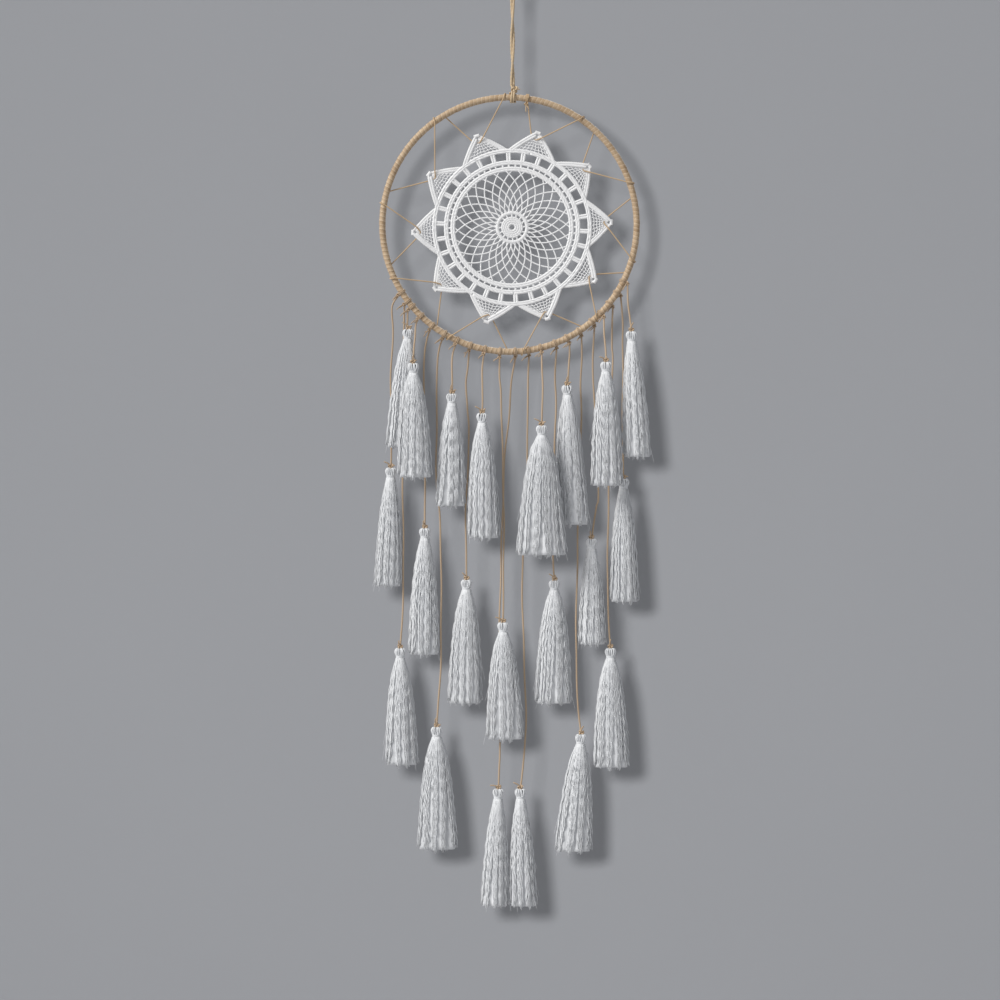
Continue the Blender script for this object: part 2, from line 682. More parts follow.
class HoopSettings(bpy.types.PropertyGroup):
    laps: count_setting("Laps", "Laps of tape round the hoop", 186, 20)
    lap_height: length_setting("Lap Height", "How far the edge of a lap stands up", 0.0002)
    light: colour_setting("Light Colour", "Colour of the tape", (0.6, 0.45, 0.295))
    dark: colour_setting("Dark Colour", "Colour where the tape is worn or stained", (0.33, 0.215, 0.12))
    bright: colour_setting("Edge Colour", "Colour along the edge of each lap", (0.84, 0.72, 0.55))


class DoilySettings(bpy.types.PropertyGroup):
    lattice_threads: count_setting("Lattice Threads", "Threads of each hand", 28, 8)
    windows: count_setting("Windows", "Openings in the outer band", 30, 8)
    light: colour_setting("Light Colour", "Colour of the cotton", (0.94, 0.94, 0.945))
    dark: colour_setting("Dark Colour", "Colour down in the stitches", (0.64, 0.64, 0.645))


class LacingSettings(bpy.types.PropertyGroup):
    thickness: length_setting("Thickness", "Thickness of the lacing cord", 0.001)
    light: colour_setting("Light Colour", "Colour on the ridges of the twist", (0.36, 0.255, 0.13))
    dark: colour_setting("Dark Colour", "Colour in the grooves of the twist", (0.14, 0.085, 0.035))


class TasselSettings(bpy.types.PropertyGroup):
    threads: count_setting("Threads", "Loose threads round each skirt", 170, 20)
    strays: count_setting("Strays", "Thin fibres that stand out of each skirt", 12, 0)
    crimp: length_setting("Crimp Length", "Length of one wave of the crimped thread", 0.0024)
    light: colour_setting("Light Colour", "Colour of the bright threads", (0.86, 0.875, 0.885))
    dark: colour_setting("Dark Colour", "Colour of the shaded threads", (0.42, 0.435, 0.455))


class DreamCatcherSettings(bpy.types.PropertyGroup):
    stage: bpy.props.PointerProperty(type=StageSettings, name="Stage")
    cords: bpy.props.PointerProperty(type=CordSettings, name="Fringe Cords")
    hanger: bpy.props.PointerProperty(type=HangerSettings, name="Hanging Cord")
    hoop: bpy.props.PointerProperty(type=HoopSettings, name="Hoop")
    doily: bpy.props.PointerProperty(type=DoilySettings, name="Doily")
    lacing: bpy.props.PointerProperty(type=LacingSettings, name="Lacing")
    tassels: bpy.props.PointerProperty(type=TasselSettings, name="Tassels")


def shared_material(name, make, *values, **options):
    return bpy.data.materials.get(name) or make(name, *values, **options)


# ---- Pieces ----


class DREAMCATCHER_OT_stage(bpy.types.Operator):
    """Makes the camera, the lights, the wall and the floor"""

    bl_idname = "dreamcatcher.stage"
    bl_label = "Stage"

    def execute(self, context):
        s = context.scene.dream_catcher.stage
        data = bpy.data.cameras.new("camera")
        data.sensor_width = 36
        data.lens = 36 * s.distance / s.view_width
        camera = bpy.data.objects.new("camera", data)
        camera.location = (VIEW_X, -s.distance, VIEW_Z)
        camera.rotation_euler = (math.radians(90), 0, 0)
        context.scene.collection.objects.link(camera)
        context.scene.camera = camera
        context.scene.view_settings.view_transform = "Standard"

        wall = self.plane("wall", 5, plaster_material("grey_plaster", tuple(s.wall_colour), one_sided=True))
        wall.data.transform(Matrix.Rotation(math.radians(90), 4, "X"))
        wall.data.transform(Matrix.Translation((0, s.wall_gap, 0)))
        floor = self.plane("floor", 16, plaster_material("pale_floor", tuple(s.floor_colour)))
        floor.data.transform(Matrix.Translation((0, 0, FLOOR_Z)))

        world = bpy.data.worlds.new("studio")
        world.use_nodes = True
        world.node_tree.nodes["Background"].inputs["Color"].default_value = (0.93, 0.96, 1.0, 1)
        world.node_tree.nodes["Background"].inputs["Strength"].default_value = s.fill
        context.scene.world = world

        key = bpy.data.lights.new("key_light", "SUN")
        key.energy = s.key
        key.angle = math.radians(32)
        key.color = (1.0, 0.985, 0.96)
        key_object = bpy.data.objects.new("key_light", key)
        key_object.rotation_euler = (math.radians(54), 0, math.radians(-56))
        context.scene.collection.objects.link(key_object)

        lamp = bpy.data.lights.new("wall_light", "AREA")
        lamp.shape, lamp.size, lamp.energy = "DISK", 0.09, s.wall_light
        lamp_object = bpy.data.objects.new("wall_light", lamp)
        lamp_object.location = (VIEW_X - LAMP_LEFT, -s.distance, VIEW_Z + LAMP_UP)
        lamp_object.rotation_euler = (math.radians(90), 0, 0)
        context.scene.collection.objects.link(lamp_object)

        back = bpy.data.lights.new("back_light", "SUN")
        back.energy = s.back
        back.angle = math.radians(40)
        back_object = bpy.data.objects.new("back_light", back)
        back_object.rotation_euler = (math.radians(-56), 0, math.radians(-24))
        context.scene.collection.objects.link(back_object)

        linked = (
            (key_object, "EXCLUDE", "lit_by_key", (wall,)),
            (lamp_object, "INCLUDE", "lit_by_lamp", (wall,)),
            (back_object, "EXCLUDE", "lit_from_behind", (wall, floor)),
        )
        for light, state, name, parts in linked:
            group = bpy.data.collections.new(name)
            light.light_linking.receiver_collection = group
            for part in parts:
                group.objects.link(part)
            for entry in group.collection_objects:
                entry.light_linking.link_state = state
        back_object.light_linking.blocker_collection = back_object.light_linking.receiver_collection
        return {"FINISHED"}

    def plane(self, name, size, material):
        bm = bmesh.new()
        bmesh.ops.create_grid(bm, x_segments=1, y_segments=1, size=size)
        mesh = bpy.data.meshes.new(name)
        bm.to_mesh(mesh)
        bm.free()
        mesh.materials.append(material)
        piece = bpy.data.objects.new(name, mesh)
        bpy.context.scene.collection.objects.link(piece)
        return piece


class DREAMCATCHER_OT_fringe_cords(bpy.types.Operator):
    """Makes the thin cords that carry the tassels, each with its knot above the tassel"""

    bl_idname = "dreamcatcher.fringe_cords"
    bl_label = "Fringe Cords"

    def execute(self, context):
        s = context.scene.dream_catcher.cords
        material = shared_material("fringe_cord", cord_material, tuple(s.light), tuple(s.dark))
        width, pitch = s.thickness / MM, s.pitch / MM
        for i, strand in enumerate(FRINGE):
            rng = random.Random(300 + i)
            points = cord_points(strand)
            exit_point = points[0].copy()
            points[0][2] += 0.9
            route = smooth_route(points, 0.55)
            for k in (0, 1):
                sway = 0.28 * np.sin(np.linspace(0, 3 + 0.05 * len(route), len(route)) + rng.uniform(0, 6))
                route[4:-4, k] += sway[4:-4] * np.sin(np.linspace(0, math.pi, len(route) - 8)) ** 0.5
            cord = Skein()
            cord.lay(
                route, width * 1.12, plies=2, pitch=pitch, cut=0.3, sides=8, tint=rng.random(),
                phase=rng.uniform(0, 3),
            )
            number = f"{i + 1:02d}"
            piece = cord.piece(
                f"fringe_cord_{number}", material, f"strand_{number}", "fringe_cord", f"cord_{number}"
            )
            self.head_knot(number, strand, material, rng)
        return {"FINISHED"}

    def head_knot(self, number, strand, material, rng):
        """Overhand knot above the tassel's head, with its cut ends"""
        centre = head_top(strand) + np.array([0, -0.6, 1.2])
        knot = Skein()
        bow = knot_route(centre, 1.9, rng.uniform(-0.5, 0.5))
        knot.lay(bow, 1.35, plies=2, pitch=3, cut=0.2, sides=6, closed=True)
        long_end = (rng.uniform(15, 45), rng.uniform(4.5, 6.5))
        short_end = (rng.uniform(-50, -15), rng.uniform(2.2, 3.4))
        for lean, reach in (long_end, short_end):
            a = math.radians(90 + lean)
            route = tail_route(centre, (math.cos(a), -0.4, math.sin(a)), reach, rng.choice((-0.6, 0.6)), rng)
            knot.lay(route, 1.15, plies=2, pitch=3, cut=0.2, sides=6, taper=0.25)
        knot.piece(f"head_knot_{number}", material, f"strand_{number}", "fringe_cord")


class DREAMCATCHER_OT_hanging_cord(bpy.types.Operator):
    """Makes the doubled jute cord, the knot of its loop and its hitch on the hoop"""

    bl_idname = "dreamcatcher.hanging_cord"
    bl_label = "Hanging Cord"

    def execute(self, context):
        s = context.scene.dream_catcher.hanger
        material = shared_material(
            "jute", cord_material, tuple(s.light), tuple(s.dark),
            fibre_size=2000, fibre_depth=0.7, sheen=0.25, gloss=0.65,
        )
        width, pitch = s.thickness / MM, s.pitch / MM
        self.cord(s, width, pitch, material)
        self.loop_knot(width, material)
        self.hitch(width, material)
        return {"FINISHED"}

    def cord(self, s, width, pitch, material):
        """Two strands twisted once round each other that part into the loop, with loose fibres"""
        rng = random.Random(41)
        arch_z = -LOOP_R - width / 2
        twist_top = LOOP_KNOT_Z - 3
        leg = []
        for t in np.linspace(0, 1, 17):
            z = HANG_END + (twist_top - HANG_END) * t
            leg.append((-STRAND_HALF * math.cos(TURN * t), -STRAND_HALF * math.sin(TURN * t), z))
        leg += [(-STRAND_HALF, 0, LOOP_KNOT_Z + 3), (-4.8, 0, LOOP_KNOT_Z + 10), (-LOOP_R, 0, arch_z - 4)]
        bow = np.radians(range(180, -1, -20))
        arch = [(LOOP_R * math.cos(a), 0, arch_z + LOOP_R * math.sin(a)) for a in bow]
        route = smooth_route(leg + arch + [(-x, -y, z) for x, y, z in reversed(leg)], 0.6)
        exit_point = route[0].copy()
        cord = Skein()
        cord.lay(route, width * 1.2, plies=2, pitch=pitch, cut=0.36, sides=12, tint=0.5)
        for _ in range(s.hairs):
            at = route[rng.randrange(2, len(route) - 3)]
            out = unit(np.array([rng.uniform(-1, 1), rng.uniform(-1, 1), rng.uniform(-0.4, 0.4)]))
            start = at + out * width * 0.35
            middle = start + out * rng.uniform(0.5, 0.9)
            end = start + out * rng.uniform(0.7, 1.2) + [0, 0, rng.uniform(-1.6, 1.6)]
            cord.lay(smooth_route([start, middle, end], 0.5), 0.09, sides=3, tint=rng.random(), taper=0.7)
        piece = cord.piece("hanging_cord", material, "hanging_cord", "jute", "hang_cord")

    def loop_knot(self, width, material):
        """Wraps that close the loop"""
        t = np.linspace(0, 1, 90)
        turns = np.stack([2.25 * np.cos(TURN * 3 * t), 1.9 * np.sin(TURN * 3 * t), -30.2 + 4.6 * t], axis=1)
        knot = Skein()
        knot.lay(turns, width * 0.92, plies=2, pitch=5, cut=0.3, sides=8, taper=0.3)
        over = [(-1.8, -1.4, -30.6), (-1.2, -2.9, -29.4), (0.6, -3.0, -27.6), (1.9, -1.6, -25.4)]
        knot.lay(smooth_route(over, 0.5), width * 0.9, plies=2, pitch=5, cut=0.3, sides=8, taper=0.4)
        knot.piece("loop_wrap", material, "hanging_cord", "jute", "loop_knot")

    def hitch(self, width, material):
        """Turns over the hoop, the knot above them and its frayed ends"""
        rng = random.Random(43)
        tube_z = HOOP_Z + math.sqrt(HOOP_R**2 - HOOP_X**2)
        t = np.linspace(0, 1, 130)
        turn_r = TUBE_R + 0.25 + width / 2
        a = TURN * 2.5 * t
        turns = np.stack([-2.0 + 4.2 * t, turn_r * np.sin(a), tube_z + turn_r * np.cos(a)], axis=1)
        hitch = Skein()
        hitch.lay(turns, width, plies=2, pitch=5.5, cut=0.34, sides=10, taper=0.3)
        centre = np.array([1.6, -0.2, -101.5])
        knot = knot_route(centre, 2.3, 0.4, flat=1.1)
        hitch.lay(knot, width * 0.95, plies=2, pitch=5, cut=0.3, sides=8, closed=True)
        for rise in (
            [(-0.9, -0.2, -98.4), (-0.2, -0.8, -100.2), (1.2, -0.9, -101.8), (1.9, -0.6, -103.4)],
            [(0.9, 0.1, -98.4), (0.8, 0.6, -100.4), (0.2, 0.9, -102.2), (-0.6, 0.4, -103.6)],
        ):
            hitch.lay(smooth_route(rise, 0.5), width, plies=2, pitch=5.5, cut=0.34, sides=10)
        for lean, reach in ((50, 2.2), (12, 2.6)):
            d = (math.cos(math.radians(lean)), -0.25, math.sin(math.radians(lean)))
            end = tail_route(centre + [0.8, -0.6, 0], d, reach, -0.35, rng)
            hitch.lay(end, width * 0.85, plies=2, pitch=5, cut=0.35, sides=8, taper=0.3)
            for _ in range(5):
                spread = unit(np.array(d) + [rng.uniform(-0.4, 0.4) for _ in range(3)])
                fray = [end[-3], end[-1] + spread * 0.5, end[-1] + spread * rng.uniform(0.8, 1.6)]
                hitch.lay(smooth_route(fray, 0.4), 0.16, sides=3, tint=rng.random(), taper=0.6)
        hitch.piece("hoop_hitch", material, "hanger", "jute", "hanger_knot")


class DREAMCATCHER_OT_lacing(bpy.types.Operator):
    """Makes the waxed cord that ties the doily's tips to the hoop, and its end knot"""

    bl_idname = "dreamcatcher.lacing"
    bl_label = "Lacing"

    def execute(self, context):
        s = context.scene.dream_catcher.lacing
        material = shared_material(
            "waxed_cord", cord_material, tuple(s.light), tuple(s.dark),
            fibre_size=3000, fibre_depth=0.35, gloss=0.42,
        )
        width = s.thickness / MM
        lacing = Skein()
        lacing.lay(taut_route(self.points(), 0.6), width, plies=3, pitch=4.2, cut=0.22, sides=9)
        lacing.piece("lacing", material, "hoop", "waxed_cord", "lacing_cord")
        self.end_knot(width, material)
        return {"FINISHED"}

    def over_hoop(self, angle):
        """From behind the hoop over its outside to the front"""
        places = []
        for k in range(4):
            turn = math.radians(60 * k)
            places.append(hoop_point(angle - 1.2 * (1 - k / 3), 3.5 * math.sin(turn), 3.5 * math.cos(turn)))
        return places

    def through_tip(self, k):
        """From behind through the lace of a star point to the front"""
        a = POINT_TURN + k * 360 / POINTS
        edge_r = TIP_R - STITCH_EDGE
        return [
            star_point(edge_r, a - STITCH_TURN, -1.5),
            star_point(TIP_R - STITCH_DEPTH, a, 0),
            star_point(edge_r, a + STITCH_TURN, 1.5),
        ]

    def points(self):
        """The lacing's whole way round the hoop, from star point to star point"""
        points = self.over_hoop(LACING_START)
        for i, (behind, front) in enumerate(LACING_ANCHORS):
            points += self.through_tip(3 + i) + [hoop_point(behind, 0, 3.3)] + self.over_hoop(front)
        return points + self.through_tip(3 + len(LACING_ANCHORS)) + [hoop_point(LACING_END, 0, 3.3)]

    def end_knot(self, width, material):
        """The lacing's last turns round the hoop, tied off beside it"""
        rng = random.Random(47)
        knot = Skein()
        turns = hoop_turns(LACING_END, TUBE_R + 0.1 + width / 2, 2, width, -90, 90)
        knot.lay(turns, width, plies=3, pitch=4, cut=0.2, sides=7)
        centre = hoop_point(LACING_END, -TIE_KNOT_OUT, -1.5)
        knot.lay(knot_route(centre, 1.5, 0.6), width * 0.9, plies=3, pitch=4, cut=0.2, sides=6, closed=True)
        for lean, reach in ((258, 6.5), (284, 4.5)):
            a = math.radians(lean)
            route = tail_route(centre, (math.cos(a), -0.2, math.sin(a)), reach, rng.choice((-0.2, 0.25)), rng)
            knot.lay(route, width * 0.9, plies=3, pitch=4, cut=0.2, sides=6, taper=0.4)
        knot.piece("lacing_end", material, "hoop", "waxed_cord", "lacing_knot")


def hoop_turns(angle, radius, turns, pitch, start, end):
    """Turns of a cord round the hoop's tube, from the angle `start` round the tube to the angle `end`"""
    a = math.radians(angle)
    out = np.array([math.cos(a), 0, math.sin(a)])
    along = np.array([-math.sin(a), 0, math.cos(a)])
    back = np.array([0, 1, 0])
    centre = hoop_point(angle)
    sweep = np.radians(np.linspace(start, end + 360 * turns, 24 * turns + 8))
    t = np.linspace(-0.5, 0.5, len(sweep)) * turns * pitch
    return np.array([
        centre + radius * (math.cos(w) * out + math.sin(w) * back) + u * along for w, u in zip(sweep, t)
    ])


class DREAMCATCHER_OT_ties(bpy.types.Operator):
    """Makes the tie of each fringe cord: turns round the hoop, a knot and its cut ends"""

    bl_idname = "dreamcatcher.ties"
    bl_label = "Fringe Ties"

    def execute(self, context):
        s = context.scene.dream_catcher.cords
        material = shared_material("fringe_cord", cord_material, tuple(s.light), tuple(s.dark))
        ties = Skein()
        for i, strand in enumerate(FRINGE):
            rng = random.Random(500 + i)
            side = -strand[1]
            tint = rng.random()
            turns = hoop_turns(strand[0], TUBE_R + 0.35, 2, 0.95, side, side)
            ties.lay(turns, 0.9, plies=2, pitch=4, cut=0.25, sides=7, tint=tint)
            centre = tie_knot_place(strand)
            knot = knot_route(centre, 1.35, rng.uniform(-1, 1))
            ties.lay(knot, 0.95, plies=2, pitch=3.5, cut=0.25, sides=7, closed=True, tint=tint)
            ends = [
                (rng.uniform(196, 222), rng.uniform(5.5, 8), 0.25),
                (rng.uniform(222, 246), rng.uniform(4, 6), -0.3),
            ]
            shown = ends if strand[0] < BOTH_ENDS_TO else ends[:1]
            for lean, reach, curl in shown:
                a = math.radians(lean)
                route = tail_route(centre, (math.cos(a), -0.35, math.sin(a)), reach, curl, rng)
                ties.lay(route, 0.9, plies=2, pitch=3.5, cut=0.25, sides=6, taper=0.15, tint=tint)
        ties.piece("ties", material, "hoop", "fringe_cord", "fringe_ties")
        return {"FINISHED"}


class DREAMCATCHER_OT_hoop(bpy.types.Operator):
    """Winds crepe tape round the hoop, each lap over the one before"""

    bl_idname = "dreamcatcher.hoop"
    bl_label = "Hoop"

    def execute(self, context):
        s = context.scene.dream_catcher.hoop
        steps = s.laps * STEPS_IN_LAP
        bm = bmesh.new()
        bmesh.ops.create_circle(bm, cap_ends=False, segments=TAPE_SIDES, radius=TUBE_R)
        bmesh.ops.translate(bm, verts=bm.verts[:], vec=(HOOP_R, 0, 0))
        bmesh.ops.spin(
            bm, geom=bm.verts[:] + bm.edges[:], cent=(0, 0, 0), axis=(0, 1, 0), dvec=(0, 0, 0), angle=TURN,
            steps=steps, use_merge=True, use_duplicate=False,
        )
        bmesh.ops.recalc_face_normals(bm, faces=bm.faces[:])
        mesh = bpy.data.meshes.new("hoop_tape")
        bm.to_mesh(mesh)
        bm.free()
        self.wind(mesh, s)
        material = shared_material(
            "crepe_tape", tape_material, tuple(s.light), tuple(s.dark), tuple(s.bright)
        )
        finish_piece("hoop_tape", mesh, material, "hoop", "tape", "hoop_wrap")
        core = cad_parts["hoop_core"]
        core.data.materials.clear()
        core.data.materials.append(wire_material("drawn_wire"))
        return {"FINISHED"}

    def wind(self, mesh, s):
        """Lifts the edge of each lap and moves the ring into place"""
        co = np.empty(len(mesh.vertices) * 3, np.float32)
        mesh.vertices.foreach_get("co", co)
        co = co.reshape(-1, 3).astype(float)
        around = np.arctan2(co[:, 2], co[:, 0])
        flat = np.hypot(co[:, 0], co[:, 2]) - HOOP_R
        tube = np.arctan2(co[:, 1], flat)
        rng = np.random.default_rng(11)
        waves = np.zeros(len(around))
        for k in UNEVEN_WAVES:
            waves += rng.uniform(0.25, 0.7) / math.sqrt(k) * np.sin(k * around + rng.uniform(0, TURN))
        lap = s.laps * around / TURN + tube / TURN + 0.42 * waves
        share = lap - np.floor(lap)
        number = np.floor(lap).astype(int)
        own = np.random.default_rng(12).random(s.laps * 4)[number % (s.laps * 4)]
        rise = (share**4 - 0.35) * s.lap_height / MM * (0.4 + own)
        lump = 0.07 * np.sin(number * 2.4 + 1.3 * np.cos(tube))
        r = TUBE_R - 0.12 + rise + lump
        x = (HOOP_R + r * np.cos(tube)) * np.cos(around)
        z = (HOOP_R + r * np.cos(tube)) * np.sin(around)
        placed = np.stack([HOOP_X + x, r * np.sin(tube), HOOP_Z + z], axis=1)
        mesh.vertices.foreach_set("co", (placed * MM).astype(np.float32).ravel())
        for name, values in (("ridge", share), ("tint", own), ("along", around * HOOP_R * MM)):
            attribute = mesh.attributes.new(name, "FLOAT", "POINT")
            attribute.data.foreach_set("value", values.astype(np.float32))


class DREAMCATCHER_OT_doily(bpy.types.Operator):
    """Crochets the star doily: eye, disc, crossing lattice, band of windows and ten netted points"""

    bl_idname = "dreamcatcher.doily"
    bl_label = "Doily"

    def execute(self, context):
        s = context.scene.dream_catcher.doily
        self.lace = Skein()
        self.rng = random.Random(77)
        self.disc()
        self.lattice(s.lattice_threads)
        self.bands(s.windows)
        for k in range(POINTS):
            self.point(POINT_TURN + k * 360 / POINTS)
        material = shared_material("cotton", cotton_material, tuple(s.light), tuple(s.dark))
        piece = self.lace.piece("lace_doily", material, "hoop", "lace", "doily")
        return {"FINISHED"}

    def ring(self, r, width, pitch, thick, cut=0.24, steps=240):
        """Crocheted ring, with its ends at a place of its own"""
        route = ring_route((DOILY_X, 0, DOILY_Z), r, DOILY_WIDE, steps)
        start = self.rng.randrange(len(route) - 1)
        route = np.concatenate([route[start:-1], route[: start + 1]])
        self.lace.lay(
            route, width, thick, plies=3, pitch=pitch * 3, cut=cut, sides=10, closed=True,
            tint=self.rng.random(),
        )

    def bar(self, r0, a0, r1, a1, width, thick, gap, plies=2, sides=6):
        """Thread or bar between two places of the doily"""
        route = spaced(np.array([star_point(r0, a0), star_point(r1, a1)]), gap)
        tint = self.rng.random()
        self.lace.lay(route, width, thick, plies=plies, pitch=3.2, cut=0.22, sides=sides, tint=tint)

    def disc(self):
        """The eye and the solid middle"""
        for r, width in DISC_RINGS:
            self.ring(r, width, 1.3 + self.rng.uniform(0, 0.5), 1.5, 0.38, steps=110)
        for k in range(16):
            a = k * 22.5 + self.rng.uniform(-2, 2)
            self.bar(7.9, a, 10.5, a + 3, 1.5, 1.0, 0.4)
        self.ring(11.15, 2.9, 1.6, 1.4, steps=150)

    def lattice(self, count):
        """Threads that wind out to the left and to the right and pass over and under each other"""
        for hand in (-1, 1):
            for k in range(count):
                a0 = (k + (0.5 if hand > 0 else 0)) * 360 / count
                t = np.linspace(0, 1, 60)
                r = LATTICE_FROM + (LATTICE_TO - LATTICE_FROM) * t
                a = a0 + hand * (6 * 180 / count) * t
                a += self.rng.uniform(-0.8, 0.8) * np.sin(math.pi * t)
                depth = 0.22 * hand * np.cos(k + 6 * t)
                route = np.array([star_point(*place) for place in zip(r, a, depth)])
                self.lace.lay(route, 1.22, 0.9, plies=2, pitch=3, cut=0.22, sides=6, tint=self.rng.random())

    def bands(self, windows):
        """Solid rings with posts between them, then the ring of windows and its rim"""
        self.ring(44.0, 2.4, 1.9, 1.5)
        self.ring(45.5, 2.4, 2.1, 1.5)
        for k in range(POSTS):
            a = k * 360 / POSTS + self.rng.uniform(-0.5, 0.5)
            lean = self.rng.uniform(-0.6, 0.6)
            self.bar(46.0, a, 48.4, a + lean, 1.6 + self.rng.uniform(-0.4, 0.5), 0.9, 0.6)
        self.ring(49.0, 2.3, 2.1, 1.4)
        self.ring(50.4, 2.4, 2.2, 1.5)
        for k in range(windows):
            a = POINT_TURN + (k + 0.5) * 360 / windows + self.rng.uniform(-0.3, 0.3)
            for side in (-0.95, 0.95):
                self.bar(50.4, a + side, 58.2, a + side, 2.25, 1.2, 0.5)
        self.ring(57.9, 2.0, 2.1, 1.5)
        self.ring(59.3, 2.4, 2.3, 1.6)

    def point(self, a):
        """One netted tip: two doubled edges that meet in a blunt end, and a fan of threads between them"""
        for side in (-1, 1):
            base = star_point(RIM_R + 0.6, a + side * 17.6, -0.15 * side)
            tip = star_point(TIP_R + 0.1, a + side * 0.9, -0.4 * side)
            run = tip - base
            inward = unit(np.cross(run, [0, 1, 0])) * -side
            for inset, end in ((0.8, 1.0), (2.35, 0.93)):
                shift = inward * inset
                bow = unit(shift) * -0.5
                start = base + shift
                route = smooth_route([start, start + run * 0.5 * end + bow, start + run * end], 0.6)
                self.lace.lay(
                    route, 2.45, 1.4, plies=3, pitch=5.2 + self.rng.random(), cut=0.28, sides=9, taper=0.3,
                    tint=self.rng.random(),
                )
        self.bar(TIP_R - 0.7, a - 1.6, TIP_R - 0.4, a + 1.6, 2.8, 1.8, 0.4, plies=3, sides=9)
        for k in range(8):
            turn = (k - 3.5) * 3.3
            foot = star_point(RIM_R - 0.3, a + turn, 0.15)
            top = star_point(TIP_R - 3.5, a + turn * 0.12, 0.1)
            thread = spaced(np.array([foot, top]), 0.7)
            self.lace.lay(thread, 0.85, 0.7, plies=2, pitch=2.4, cut=0.25, sides=5)
        for r in (61.9, 64.1, 66.2, 68.2):
            half = 13 * (TIP_R - 3 - r) / (TIP_R - 3 - RIM_R)
            arc = [star_point(r + 0.25 * math.sin(9 * t), a + half * t, -0.2) for t in np.linspace(-1, 1, 14)]
            self.lace.lay(np.array(arc), 0.75, 0.6, plies=2, pitch=2.4, cut=0.25, sides=5)


# Threads over the head, and the path of each, as (distance from the middle, drop)
HEAD_THREADS = 18
HEAD_LOOP = ((0.5, 2.4), (1.3, 0.8), (2.6, 0.4), (3.5, 1.7), (3.6, 3.2), (3.1, 4.7), (2.7, 5.8), (2.6, 7.4))
# Places from the neck to the hem, then the skirt's width there (plain and flared) and its depth, as shares of
# those at the hem
HEM_SHARES = (0, 0.03, 0.1, 0.2, 0.36, 0.62, 1)
WIDE_SHARES = (0.3, 0.46, 0.6, 0.75, 0.89, 1)
FLARED_SHARES = (0.24, 0.41, 0.53, 0.67, 0.8, 1)
DEEP_SHARES = (0.55, 0.76, 0.87, 0.95, 1, 1)


